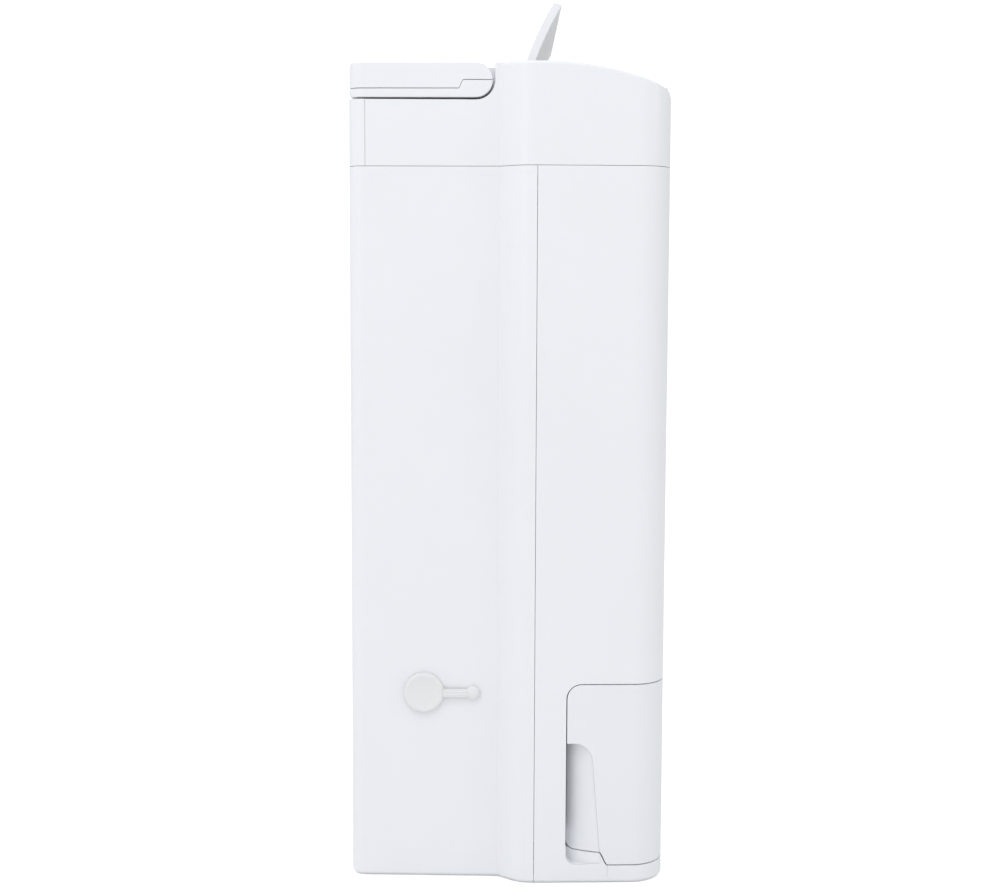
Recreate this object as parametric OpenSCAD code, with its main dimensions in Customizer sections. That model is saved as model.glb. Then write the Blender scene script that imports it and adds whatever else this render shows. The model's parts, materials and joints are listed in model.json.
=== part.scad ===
// Compact desiccant dehumidifier, in millimetres.
// The front faces -Y, +X is to the right as seen from the front, and Z = 0 is the floor under the feet.
// The origin is on the floor, under the middle of the body.

/* [Body] */
// Widest width of the body, at the seam between the two shells
body_w = 290; // [288:1:294]
// Depth of the body, front to back
body_d = 187.5; // [186.5:0.5:190]
// Height of the top of the lid above the floor
body_h = 480.6; // [478.6:1:484.6]
// Height of the seam under the top housing
lid_seam_z = 422; // [420:1:424]
// Thickness of the moulded walls
wall = 2.5; // [2.2:0.1:2.8]
// Width of the seams between the shells
seam_gap = 0.6; // [0.4:0.1:0.8]

/* [Louvre] */
// Angle that the louvre stands open at, from closed
louvre_open = 80; // [0:5:80]
// Half the length of the louvre flap
louvre_half = 101; // [90:1:101]

/* [Handle] */
// Thickness of the carrying handle
handle_t = 19.4; // [18:0.1:19.4]
// Width of each handle arm
handle_arm_w = 15.5; // [13.5:0.5:15.5]

/* [Tank] */
// Height of the top edge of the tank's face
tank_top_z = 120.2; // [118:0.1:120.2]
// Half the width of the tank's narrow part, inside the body
tank_inner_half = 108; // [96:1:108]

/* [Drying wheel] */
// Radius of the desiccant wheel
wheel_r = 94; // [90:1:95]

/* [Hidden] */
$fn = 48;

// The origin line stands under the handle side of the middle, so the front reaches a little further.
rear_d = 93;
front_d = body_d - rear_d;
seam_y = -16;
shell_z0 = 0.4;
shell_top = lid_seam_z - seam_gap / 2;
lid_z0 = lid_seam_z + seam_gap / 2;
eps = 0.05;

// Plan outline: the rear part is narrower, and an S-shaped step widens it just behind the seam.
seam_w = body_w / 2;
rear_w = seam_w - 13.2;
rear_r = 8;
trim_y = 83.7;
step_w0 = seam_w - 11.1;
step_w1 = seam_w - 0.4;
step_y0 = 5.4;
step_y1 = -12.5;
front_w = seam_w - 2;
corner_rx = 21;
corner_ry = 20;
front_bow = 1;

function arc(c, rx, ry, a0, a1, n) =
    [for (i = [0:n]) let (a = a0 + (a1 - a0) * i / n) [c[0] + rx * cos(a), c[1] + ry * sin(a)]];
function smooth(t) = (1 - cos(180 * t)) / 2;
function mirrored(half) = concat(half,
    [for (i = [len(half) - 1:-1:0]) if (half[i][0] > eps) [-half[i][0], half[i][1]]]);
function rounded_rect(w, h, r, n = 5) = concat(
    arc([w / 2 - r, h / 2 - r], r, r, 0, 90, n), arc([r - w / 2, h / 2 - r], r, r, 90, 180, n),
    arc([r - w / 2, r - h / 2], r, r, 180, 270, n), arc([w / 2 - r, r - h / 2], r, r, 270, 360, n));

// Right half of the plan outline from the middle of the back to the seam, moved in by inset. The step
// starts at a crease and eases out towards the seam.
function rear_half(inset) = concat(
    [[0, rear_d - inset]],
    arc([rear_w - rear_r, rear_d - rear_r], rear_r - inset, rear_r - inset, 90, 0, 6),
    [for (i = [0:10]) let (t = i / 10)
        [step_w0 + (step_w1 - step_w0) * sin(90 * t) - inset, step_y0 + (step_y1 - step_y0) * t]]);
// Right half of the plan outline from the seam to the middle of the front.
function front_half(inset) = let (x0 = front_w - corner_rx, y0 = corner_ry + front_bow - front_d) concat(
    arc([x0, y0], corner_rx - inset, corner_ry - inset, 0, -90, 9),
    [for (i = [1:6]) let (x = x0 * (1 - i / 6)) [x, inset - front_d + front_bow * pow(x / x0, 2)]]);
function outline(inset) = mirrored(concat(rear_half(inset), [[seam_w - inset, seam_y]], front_half(inset)));
// The parts of that outline behind and ahead of a line across the body.
function rear_region(inset, y) = mirrored(concat(rear_half(inset), [[seam_w - inset, y]]));
function side_x(y) =
    seam_w - (seam_w - front_w) * (seam_y - y) / (seam_y + front_d - corner_ry - front_bow);
function front_region(inset, y) = mirrored(concat([[0, y]], [[side_x(y) - inset, y]], front_half(inset)));

// Prisms drawn in the XY, YZ and XZ planes.
module slab(z0, z1) { translate([0, 0, z0]) linear_extrude(z1 - z0) children(); }
module prism_x(x0, x1) { translate([x0, 0, 0]) rotate([90, 0, 90]) linear_extrude(x1 - x0) children(); }
module prism_y(y0, y1) { translate([0, y1, 0]) rotate([90, 0, 0]) linear_extrude(y1 - y0) children(); }
module block(lo, hi) { translate(lo) cube(hi - lo); }
module rod_x(x0, x1, y, z, r) { translate([x0, y, z]) rotate([0, 90, 0]) cylinder(h = x1 - x0, r = r); }
module rod_y(y0, y1, x, z, r) { translate([x, y1, z]) rotate([90, 0, 0]) cylinder(h = y1 - y0, r = r); }
module both_sides() { children(); mirror([1, 0, 0]) children(); }

// ---- Top of the body: a flat that turns down to the front on a long arc ----
crown_y = -20;
crown_r = 180;
function top_z(y) = y > crown_y ? body_h : body_h - crown_r + sqrt(pow(crown_r, 2) - pow(y - crown_y, 2));
function crown(y0, y1, dz, n = 10) = [for (i = [0:n]) let (y = y0 + (y1 - y0) * i / n) [y, top_z(y) + dz]];

// ---- Carrying handle ----
hub_y = 19.5;
hub_z = body_h - handle_t / 2;
hub_r = handle_t / 2;
notch_r = hub_r + 1.4;
shelf_z = body_h - handle_t - 1;
block_half = 112;
block_rear_y = 62;
handle_inner_y = 66;
pin_r = 4;
handle_seam_z = hub_z - 4.6;
handle_arm_x = rear_w - handle_arm_w;

// ---- Louvre ----
louvre_y = -25;
louvre_z = body_h - 22;
louvre_rear_y = -7.9;
louvre_front_y = -85.7;
louvre_sweep_r = 28.6;
louvre_t = 5;
outlet_front_y = -86.6;
outlet_half = louvre_half + 1.5;
louvre_pin_r = 3;

// ---- Tank bay ----
bay_y = -34.8;
bay_z0 = 10.8;
bay_top = tank_top_z + 0.5;
bay_lip_z = 18.6;
bay_lip_y = -54.4;
bay_lip_run = 5.4;
bay_r = 9;
bay_r_low = 5;
floor_z = 4;
tank_rear_y = 28;
tank_z0 = bay_z0 + 0.4;

// Side outline of the bay in Y and Z; grow is negative for the tank that fills it.
function bay_profile(grow) = concat([[-front_d - 5, bay_z0 - grow]],
    [for (i = [0:8]) [bay_lip_y - bay_lip_run * (1 - i / 8) + 0.7 * grow,
        bay_z0 + (bay_lip_z - bay_z0) * smooth(i / 8) - grow]],
    arc([bay_y - bay_r_low, bay_lip_z + bay_r_low], bay_r_low + grow, bay_r_low + grow, -90, 0, 5),
    arc([bay_y - bay_r, bay_top - bay_r], bay_r + grow, bay_r + grow, 0, 90, 7),
    [[-front_d - 5, bay_top + grow]]);

// Finger scoop in each side of the tank and the base: a ramp, deepest at the seam.
scoop_depth = 9.5;
scoop_len = 20.4;
scoop_top = 84.9;
scoop_edge_y = -54.8;
function scoop_outline() = concat([[bay_y - 0.2, scoop_top]],
    arc([-39.6, scoop_top - 11.4], 11, 11.4, 90, 180, 8),
    [[scoop_edge_y, 20.5], [scoop_edge_y - 2.6, 12.6]],
    arc([bay_y - 6.2, 17.2], 6, 5.8, 270, 360, 6));
module scoop() {
    intersection() {
        prism_x(120, 150) polygon(scoop_outline());
        slab(5, 90) polygon(concat(
            [for (i = [0:6]) let (t = i / 6)
                [seam_w - 0.7 - scoop_depth * pow(1 - t, 1.5) - 0.75 * t, bay_y - 0.2 - scoop_len * t]],
            [[150, bay_y - 0.2 - scoop_len], [150, bay_y - 0.2]]));
    }
}

// ---- Screws that join the shells: deep wells in the rear shell, bosses in the front one ----
well_x = 121;
well_zs = [26, 407];
well_r = 6;
module at_wells() { for (s = [-1, 1], z = well_zs) translate([s * well_x, 0, z]) children(); }

foot_xs = [-105, 105];
foot_ys = [-62, 72];
foot_r = 9;
module at_feet() { for (x = foot_xs, y = foot_ys) translate([x, y, 0]) children(); }

intake_half = 104;
intake_z0 = 150;
intake_z1 = 400;
plug_y = 49.5;
plug_z = 113;
cord_x = 96;
cord_z = 60;

module rear_shell() {
    color("whitesmoke") difference() {
        union() {
            difference() {
                slab(shell_z0, shell_top) polygon(rear_region(0, seam_y + seam_gap / 2));
                slab(floor_z, shell_top + 1) polygon(rear_region(wall, seam_y - 1));
            }
            at_wells() rod_y(-6, rear_d - 1, 0, 0, well_r);
            // Rim round the drain hole, inside the wall
            rod_x(1.5 - plug_x, 10 - rear_w, plug_y, plug_z, plug_r);
        }
        at_wells() rod_y(-3.5, rear_d + 1, 0, 0, 4);
        at_wells() rod_y(-8, 0, 0, 0, 2.1);
        prism_y(80, rear_d + 1) translate([0, (intake_z0 + intake_z1) / 2])
            polygon(rounded_rect(2 * intake_half, intake_z1 - intake_z0, 6));
        rod_x(-seam_w, -rear_w + 20, plug_y, plug_z, 9);
        rod_y(80, rear_d + 1, cord_x, cord_z, 7);
        rod_x(-seam_w, -rear_w + 6, anchor_y, plug_z, anchor_stem_r + 0.05);
        at_feet() slab(0, 3.5) circle(foot_r + 0.05);
        // Air slots low in the back wall
        for (i = [-3:3]) block([i * 12 - 3, 80, 84], [i * 12 + 3, rear_d + 1, 110]);
    }
}

module front_shell() {
    seam_front = seam_y - seam_gap / 2;
    color("white") difference() {
        union() {
            difference() {
                slab(shell_z0, shell_top) polygon(front_region(0, seam_front));
                slab(floor_z, shell_top + 1) polygon(front_region(wall, seam_y + 1));
            }
            // Solid backing for the scoops
            both_sides() block([128, bay_lip_y - bay_lip_run, floor_z - eps],
                [seam_w - 1.5, bay_y + 2, bay_lip_z + 1]);
            // Tongue that laps inside the rear shell
            both_sides() block([seam_w - 6.4, seam_front - 4, 24], [seam_w - 4.9, seam_y + 6, 400]);
            both_sides() block([seam_w - 5.5, seam_front - 4, 24],
                [seam_w - wall + 0.2, seam_front - 0.2, 400]);
            at_wells() rod_y(-40, -6.3, 0, 0, 4.5);
            both_sides() block([well_x - 1, -40, 398], [seam_w - 1.2, -37, 416]);
            both_sides() block([well_x - 1, -33, floor_z - eps], [seam_w - 1.2, -30, 32]);
            // Ribs that carry the main board's cover
            for (z = [195, 280]) block([123.7, -60, z], [seam_w - 3.5, -57, z + 12]);
        }
        prism_x(-200, 200) polygon(bay_profile(0));
        both_sides() scoop();
        at_wells() rod_y(-24, -6, 0, 0, 1.6);
        at_feet() slab(0, 3.5) circle(foot_r + 0.05);
    }
}

module lid_profile(drop, rear_y) {
    front_y = drop - front_d - 1;
    polygon(concat([[rear_y, lid_z0 - 10], [rear_y, shelf_z - drop], [block_rear_y - drop, shelf_z - drop],
        [block_rear_y - drop, body_h - drop]], crown(0, front_y, -drop), [[front_y, lid_z0 - 10]]));
}
// Room for one handle arm and its hub; more makes the same room bigger for the wall round it.
module handle_notch(more) {
    prism_x(block_half - more, 170) polygon(concat(
        [[rear_d + 5, shelf_z - more]], arc([hub_y, hub_z], notch_r + more, notch_r + more, 270, 180, 8),
        [[hub_y - notch_r - more, body_h + 5], [rear_d + 5, body_h + 5]]));
}
button_xs = [-60, -20, 20, 60];
button_y = 30;
lens_y = 46;

module top_housing() {
    rear_y = trim_y - 0.3;
    color("whitesmoke") difference() {
        union() {
            difference() {
                intersection() {
                    slab(lid_z0, body_h + 2) polygon(outline(0));
                    prism_x(-200, 200) lid_profile(0, rear_y);
                }
                both_sides() handle_notch(0);
                difference() {
                    intersection() {
                        slab(lid_z0 - 1, body_h + 2) polygon(outline(wall));
                        prism_x(-200, 200) lid_profile(wall, rear_y - wall);
                    }
                    both_sides() handle_notch(wall);
                }
            }
            // Tongue that laps inside the two shells
            intersection() {
                difference() {
                    union() {
                        slab(lid_z0, lid_z0 + 3) polygon(outline(wall - 0.2));
                        slab(417, lid_z0 + 1) polygon(outline(wall + 0.4));
                    }
                    slab(410, 440) polygon(outline(4.4));
                }
                block([-200, -front_d, 400], [200, 80, 440]);
            }
            // Bosses for the control panel's frame
            at_board_screws() slab(body_h - 14, body_h - 1.5) circle(3.5);
        }
        // Air outlet, with its rear edge cut round the louvre's swing
        block([-outlet_half, outlet_front_y, lid_z0 + 30], [outlet_half, louvre_y, body_h + 5]);
        rod_x(-outlet_half, outlet_half, louvre_y, louvre_z, louvre_sweep_r);
        // Pocket for the control panel, with a hole for each button and lens
        slab(body_h - 1.6, body_h + 2) translate([0, 35]) polygon(rounded_rect(184.6, 42.6, 5));
        for (x = button_xs) translate([x, button_y, body_h - 6]) cylinder(h = 8, r = 6.6);
        for (i = [-2.5:2.5]) translate([i * 14, lens_y, body_h - 6]) cylinder(h = 8, r = 1.75);
        both_sides() rod_x(block_half - wall - 1, block_half + 1, hub_y, hub_z, pin_r + 0.06);
        at_board_screws() slab(body_h - 15, body_h - 5) circle(1.5);
    }
}

module rear_trim() {
    color("whitesmoke") difference() {
        intersection() {
            slab(lid_z0, shelf_z) polygon(outline(0));
            block([-200, trim_y, lid_z0 - 5], [200, rear_d + 1, shelf_z + 5]);
        }
        intersection() {
            slab(lid_z0 - 1, shelf_z - wall) polygon(outline(wall));
            block([-200, 80, lid_z0 - 5], [200, rear_d - wall, shelf_z + 5]);
        }
        // Finger recess under the handle's bar
        prism_y(84.5, rear_d + 5) translate([0, shelf_z]) polygon(rounded_rect(90, 24, 6));
    }
}

module chassis() {
    color("dimgray") {
        slab(floor_z + 0.2, 6.5) translate([-117, -33]) square([234, 117]);
        for (y = [-30, 0, 25, 55, 82]) block([-108, y - 1, 6.4], [108, y + 1, 10.8]);
        for (x = [-100, -50, 50, 100]) block([x - 1, -33, 6.4], [x + 1, 84, 10.8]);
    }
}
deck_z = 172.5;
beam_z = deck_z - 6;
support_z0 = 6.6;
support_x = 113.5;
module inner_supports() {
    color("dimgray") {
        // Side walls that guide the tank
        both_sides() block([support_x - 2.5, -31, support_z0], [support_x, 32, beam_z - 0.1]);
        // Beams under the fan, across those walls
        for (y = [-28, 0]) block([-support_x, y, beam_z], [support_x, y + 5, deck_z]);
        // Posts under the drain pan
        both_sides() for (y = [35, 74]) block([109, y, support_z0], [114, y + 7, pan_z - 0.1]);
    }
}
module bay_lining() {
    color("white") {
        // Plate that the tank slides on, on three ribs
        slab(8.2, bay_z0 - 0.3) intersection() {
            polygon(front_region(wall + 0.3, bay_y));
            translate([-127.6, -100]) square([255.2, 100]);
        }
        slab(floor_z + 0.1, 8.3) for (x = [-60, 0, 60]) translate([x - 1, -88]) square([2, 52]);
        // Stiffening rim over the bay
        slab(bay_top + 0.1, bay_top + 2.1) difference() {
            polygon(front_region(wall + 0.2, bay_y));
            translate([-118, -66]) square([236, 60]);
        }
    }
}

module rubber_feet() {
    color("dimgray") at_feet() {
        cylinder(h = 3.4, r = foot_r);
    }
}

module case_screw() {
    difference() {
        union() {
            rod_y(-3.5, -0.9, 0, 0, 3.6);
            rod_y(-22, -3.4, 0, 0, 1.58);
            rod_y(-5.9, -3.4, 0, 0, 2);
        }
        for (a = [0, 90]) rotate([0, a, 0]) block([-2, -2.1, -0.4], [2, 0, 0.4]);
    }
}
board_screw_x = 84;
board_screw_y = 52;
module at_board_screws() { for (s = [-1, 1]) translate([s * board_screw_x, board_screw_y, 0]) children(); }
module board_screw() {
    cylinder(h = 1.95, r = 2.8);
    cylinder(h = 9, r = 1.45);
}
module screws() {
    color("silver") {
        at_wells() case_screw();
        at_board_screws() translate([0, 0, body_h - 17.6]) board_screw();
    }
}

module cord_grommet() {
    color("dimgray") difference() {
        union() {
            rod_y(rear_d - wall - 2.5, rear_d + 0, cord_x, cord_z, 6.95);
            rod_y(rear_d - wall - 2.6, rear_d - wall - 0.1, cord_x, cord_z, 9);
        }
        rod_y(80, rear_d + 5, cord_x, cord_z, 3.6);
    }
}

// ---- Handle: one bar, split on a stepped line into a cover and a base ----
module handle_bar() {
    intersection() {
        difference() {
            slab(body_h - handle_t, body_h) polygon(outline(0.3));
            block([-handle_arm_x, -10, 400], [handle_arm_x, handle_inner_y, 500]);
        }
        prism_x(-200, 200) union() {
            translate([hub_y, hub_z]) circle(hub_r);
            translate([hub_y, body_h - handle_t]) square([rear_d - hub_y - 3, handle_t]);
            translate([rear_d - 6, hub_z]) polygon(rounded_rect(11.4, handle_t, 2.6));
        }
    }
}
module handle_cavity() {
    difference() {
        slab(body_h - handle_t + 2.4, body_h - 2.4) intersection() {
            polygon(outline(2.9));
            translate([-200, 34]) square([400, 100]);
        }
        block([-handle_arm_x - 2.4, -10, 400], [handle_arm_x + 2.4, handle_inner_y + 2.4, 500]);
    }
}
module above_handle_seam(gap) {
    prism_x(-200, 200) polygon([[0, 500], [0, hub_z + 0.2 + gap], [27, hub_z + 0.2 + gap],
        [29.3, handle_seam_z + gap], [rear_d + 5, handle_seam_z + gap], [rear_d + 5, 500]]);
}
module handle_cover() {
    color("whitesmoke") difference() {
        intersection() { handle_bar(); above_handle_seam(0.15); }
        handle_cavity();
        both_sides() rod_x(block_half, handle_arm_x + 9, hub_y, hub_z, pin_r);
    }
}
module handle_base() {
    color("whitesmoke") difference() {
        handle_bar();
        above_handle_seam(-0.15);
        handle_cavity();
        both_sides() rod_x(block_half, handle_arm_x + 9, hub_y, hub_z, pin_r);
    }
}
module handle_pins() {
    color("silver") both_sides() {
        rod_x(block_half - 7, handle_arm_x + 9, hub_y, hub_z, pin_r);
        rod_x(block_half - 7, block_half - 4.5, hub_y, hub_z, pin_r + 2);
    }
}

// ---- Louvre: drawn closed, then swung open round its pins ----
function louvre_flap_outline() = concat(crown(louvre_rear_y, louvre_front_y, 0, 12),
    crown(louvre_front_y + 0.8, louvre_rear_y, -louvre_t, 12));
module swung_open() {
    pivot = [0, louvre_y, louvre_z];
    translate(pivot) rotate([-louvre_open, 0, 0]) translate(-pivot) children();
}
module louvre_flap() {
    color("white") swung_open() difference() {
        union() {
            prism_x(-louvre_half, louvre_half) polygon(louvre_flap_outline());
            both_sides() {
                prism_x(louvre_half - 5, louvre_half - 1) polygon([[louvre_y + 9, body_h - 4],
                    [louvre_y + 5.5, louvre_z], [louvre_y - 5.5, louvre_z], [louvre_y - 13, body_h - 4]]);
                rod_x(louvre_half - 5, louvre_half - 1, louvre_y, louvre_z, 5.5);
            }
        }
        both_sides() rod_x(louvre_half - 6, louvre_half, louvre_y, louvre_z, louvre_pin_r);
    }
}
module louvre_pins() {
    color("silver") both_sides()
        rod_x(louvre_half - 5.9, outlet_half + 3.5, louvre_y, louvre_z, louvre_pin_r);
}

duct_rear_y = 4.2;
duct_z0 = lid_z0 + 3.6;
duct_t = 2;
// Side outline of the duct, under the lid; grow adds its walls.
module duct_profile(grow) {
    polygon(concat([[duct_rear_y + grow, duct_z0], [duct_rear_y + grow, body_h - 3.2]],
        crown(0, outlet_front_y - 0.7 * grow, -3.2), [[outlet_front_y - 0.7 * grow, duct_z0]]));
}
module outlet_duct() {
    color("gainsboro") difference() {
        union() {
            difference() {
                prism_x(-outlet_half - duct_t, outlet_half + duct_t) duct_profile(duct_t);
                block([-outlet_half, outlet_front_y, lid_z0], [outlet_half, duct_rear_y, body_h]);
            }
            both_sides() rod_x(outlet_half + 1, outlet_half + 4, louvre_y, louvre_z, 6);
        }
        both_sides() rod_x(outlet_half - 1, outlet_half + 6, louvre_y, louvre_z, louvre_pin_r + 0.05);
    }
}
module outlet_fins() {
    color("gainsboro") {
        for (y = [-80, -45, -12]) block([-outlet_half + 0.3, y - 1, 426], [outlet_half - 0.3, y + 1, 433]);
        for (i = [-9:9]) block([i * 10.4 - 0.7, outlet_front_y + 0.4, 426.5],
            [i * 10.4 + 0.7, duct_rear_y - 0.4, 432.5]);
    }
}

module control_panel() {
    color("lightgray") difference() {
        slab(body_h - 1.5, body_h - 0.1) translate([0, 35]) polygon(rounded_rect(184, 42, 5));
        for (x = button_xs) translate([x, button_y, body_h - 6]) cylinder(h = 8, r = 6.3);
        for (i = [-2.5:2.5]) translate([i * 14, lens_y, body_h - 6]) cylinder(h = 8, r = 1.6);
    }
}
module indicator_lenses() {
    color("honeydew") for (i = [-2.5:2.5])
        translate([i * 14, lens_y, body_h - 9]) cylinder(h = 8.9, r = 1.5);
}
module control_board() {
    color("darkgreen") difference() {
        union() {
            slab(body_h - 15.6, body_h - 14.1) translate([-90, 14]) square([180, 43]);
            for (x = button_xs) slab(body_h - 14.2, body_h - 11.4)
                translate([x - 3, button_y - 3]) square([6, 6]);
            for (i = [-2.5:2.5]) translate([i * 14, lens_y, body_h - 14.2]) cylinder(h = 3.2, r = 1.4);
        }
        at_board_screws() slab(body_h - 17, body_h - 12) circle(1.6);
    }
}
module button(x) {
    color("white") translate([x, button_y, body_h]) {
        translate([0, 0, -10.4]) cylinder(h = 10.5, r = 6);
        translate([0, 0, -8]) cylinder(h = 4.6, r = 7.6);
    }
}

// ---- Rear filter ----
module filter_cover() {
    mid_z = (intake_z0 + intake_z1) / 2;
    h = intake_z1 - intake_z0 - 1;
    color("whitesmoke") difference() {
        union() {
            prism_y(rear_d - 3.4, rear_d) translate([0, mid_z])
                polygon(rounded_rect(2 * intake_half - 1, h, 5.5));
            for (z = [intake_z0 + 40, intake_z1 - 40]) both_sides()
                block([intake_half - 9, 84.4, z - 6], [intake_half - 6.6, rear_d - 3, z + 6]);
        }
        for (i = [0:27], s = [-1, 1]) block([s > 0 ? 3 : -96, 80, intake_z0 + 11.5 + i * 8.2],
            [s > 0 ? 96 : -3, rear_d + 5, intake_z0 + 16 + i * 8.2]);
        // Finger dip at the top edge
        rod_y(rear_d - 1.6, rear_d + 5, 0, intake_z1 + 2, 14);
    }
}
module filter_frame() {
    mid_z = (intake_z0 + intake_z1) / 2;
    color("silver") {
        difference() {
            prism_y(84.8, 88.4) translate([0, mid_z]) polygon(rounded_rect(182, 236, 4));
            prism_y(84, 90) translate([0, mid_z]) polygon(rounded_rect(170, 224, 2));
        }
        for (z = [mid_z - 56, mid_z, mid_z + 56]) block([-86, 84.9, z - 1.2], [86, 86, z + 1.2]);
        for (x = [-43, 0, 43]) block([x - 1.2, 84.9, mid_z - 113], [x + 1.2, 86, mid_z + 113]);
    }
}
module filter_mesh() {
    mid_z = (intake_z0 + intake_z1) / 2;
    color("slategray") prism_y(86.1, 87) translate([0, mid_z]) polygon(rounded_rect(169.6, 223.6, 2));
}

// ---- Side drain: a spout in the wall, and the rubber plug that closes it ----
plug_r = 12;
plug_x = step_w0 - 1.1;
anchor_y = 20.4;
anchor_stem_r = 1.5;
module drain_plug() {
    color("white") {
        rod_x(-plug_x - 3.2, -plug_x - 0.3, plug_y, plug_z, plug_r);
        rod_x(-plug_x - 0.4, -plug_x + 6, plug_y, plug_z, 8.7);
    }
}
module plug_strap() {
    color("white") difference() {
        union() {
            block([-plug_x - 3.4, anchor_y, plug_z - 2.4], [-plug_x - 1.6, plug_y - 4, plug_z + 2.4]);
            rod_x(-plug_x - 3.9, -plug_x - 0.9, anchor_y, plug_z, 4.3);
            rod_x(-plug_x - 1, -plug_x + 4, anchor_y, plug_z, anchor_stem_r);
            rod_x(-plug_x + 2.1, -plug_x + 4, anchor_y, plug_z, 2.6);
        }
        rod_x(-plug_x - 6, -plug_x + 2, plug_y, plug_z, plug_r + 0.3);
    }
}
module drain_spout() {
    color("gainsboro") difference() {
        rod_x(-seam_w + 19, -84, plug_y, plug_z, 6);
        rod_x(-seam_w + 15, -80, plug_y, plug_z, 4.2);
    }
}

// ---- Water tank ----
rim_z = 112;
tank_wall = 2.2;
tank_side_gap = 0.05;
// Solid shape of the tank: a wide face block with a narrower part behind it. inset gives the hollow.
module tank_block(inset) {
    intersection() {
        slab(tank_z0, tank_top_z) polygon(front_region(inset + tank_side_gap, bay_y - 0.5 - inset));
        prism_x(-200, 200) polygon(bay_profile(-0.5 - inset));
    }
    block([inset - tank_inner_half, -62, tank_z0 + inset],
        [tank_inner_half - inset, tank_rear_y - inset, rim_z]);
}
module water_tank() {
    color("white") difference() {
        union() {
            difference() {
                tank_block(0);
                tank_block(tank_wall);
                // The face block is open at the top, inside a rim
                slab(90, tank_top_z + 1) polygon(front_region(3.4, bay_y - 2.7));
                slab(90, tank_top_z + 1)
                    translate([4 - tank_inner_half, bay_y - 4]) square([2 * tank_inner_half - 8, 10]);
                slab(rim_z - eps, tank_top_z + 1)
                    translate([-tank_inner_half, bay_y - 3]) square([2 * tank_inner_half, 10]);
            }
            // Solid backing for the scoops
            both_sides() intersection() {
                slab(bay_lip_z, 89) polygon(front_region(1.5, bay_y - 1));
                block([130, bay_lip_y - 3.1, 0], [150, bay_y, 90]);
                prism_x(0, 200) polygon(bay_profile(-0.5));
            }
            // Pivot ears for the tank handle and the float
            both_sides() block([tank_inner_half - 5.6, -21, rim_z - 26], [tank_inner_half - 1, -9, rim_z]);
            for (x = [-13.5, 10.5]) block([float_x + x, 14.5, float_z - 4],
                [float_x + x + 3, tank_rear_y - 1, float_z + 4]);
        }
        both_sides() scoop();
        both_sides() rod_x(tank_inner_half - 12, tank_inner_half - 1.6, -15, rim_z - 8, bail_pin_r + 0.05);
        rod_x(float_x - 20, float_x + 20, 18, float_z, float_pin_r + 0.05);
        // Slot for the level window in the front wall
        prism_y(-front_d - 5, -front_d + 12) translate([0, 62]) polygon(rounded_rect(12.4, 70.4, 6));
    }
}
module tank_window() {
    color("lightblue") {
        prism_y(-front_d + 0.2, -front_d + 3) translate([0, 62]) polygon(rounded_rect(12, 70, 5.8));
        prism_y(-front_d + 2.6, -front_d + 4) translate([0, 62]) polygon(rounded_rect(18, 76, 8));
    }
}
lid_hole_y = 12;
module tank_lid() {
    color("white") difference() {
        union() {
            slab(rim_z + 0.2, rim_z + 2.4) {
                translate([2 - tank_inner_half, bay_y - 2.6])
                    square([2 * tank_inner_half - 4, tank_rear_y - bay_y + 2.4]);
                intersection() {
                    polygon(front_region(3.8, bay_y - 3));
                    translate([-200, -200]) square([400, 200 + bay_y - 2.5]);
                }
            }
            slab(rim_z - 3, rim_z + 0.3) difference() {
                translate([-101, -80]) square([202, 104.5]);
                translate([-99, -78]) square([198, 100.5]);
            }
        }
        translate([0, lid_hole_y, rim_z - 5]) cylinder(h = 10, r = 12);
        // Pouring gap at the front corner
        translate([70, -60, rim_z - 5]) cylinder(h = 10, r = 10);
        both_sides() block([tank_inner_half - 15, -24, rim_z - 5], [tank_inner_half + 1, 3, rim_z + 4]);
    }
}
bail_len = 34;
bail_pin_r = 2.5;
module tank_handle() {
    x1 = tank_inner_half - 8.5;
    color("white") {
        both_sides() {
            block([x1 - 4, -15 - bail_len, rim_z + 3.2], [x1, -15, rim_z + 7.4]);
            block([x1 - 4, -18, rim_z - 8], [x1, -12, rim_z + 7.4]);
            rod_x(x1 - 4, x1, -15, rim_z - 8, 5);
            rod_x(x1 - 1, tank_inner_half - 2, -15, rim_z - 8, bail_pin_r);
        }
        block([-x1, -15 - bail_len - 8, rim_z + 3.2], [x1, -15 - bail_len + 0.1, rim_z + 7.4]);
    }
}
float_x = -70;
float_z = 92;
float_pin_r = 1.8;
// The arm has its two pivot pins moulded on, which snap into the tank's ears.
module float_arm() {
    color("gainsboro") {
        rod_x(float_x - 10, float_x + 10, 18, float_z, 3.6);
        rod_x(float_x - 13.5, float_x + 13.5, 18, float_z, float_pin_r);
        block([float_x - 2.5, -12, float_z - 2], [float_x + 2.5, 17, float_z + 2]);
        block([float_x - 4, 14.6, float_z], [float_x + 4, 21, float_z + 10]);
    }
}
module float_block() {
    color("white") block([float_x - 11, -26, float_z - 13], [float_x + 11, -2, float_z - 2.05]);
}
module float_magnet() {
    color("silver") translate([float_x, 17.8, float_z + 10.05]) cylinder(h = 3, r = 2.9);
}
module level_sensor() {
    color("dimgray") block([float_x - 7, 31, 104], [float_x + 7, 37.9, 112]);
}

// ---- Full-tank switch, behind the tank ----
module tank_switch() {
    color("dimgray") difference() {
        union() {
            block([86, 36, 84], [102, 48, 108]);
            block([88, 46, 100], [100, 60, 103]);
        }
        rod_y(30, 44, 94, 94, 2.05);
    }
}
module switch_plunger() {
    color("firebrick") rod_y(tank_rear_y + 0.4, 41, 94, 94, 2);
}

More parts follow.
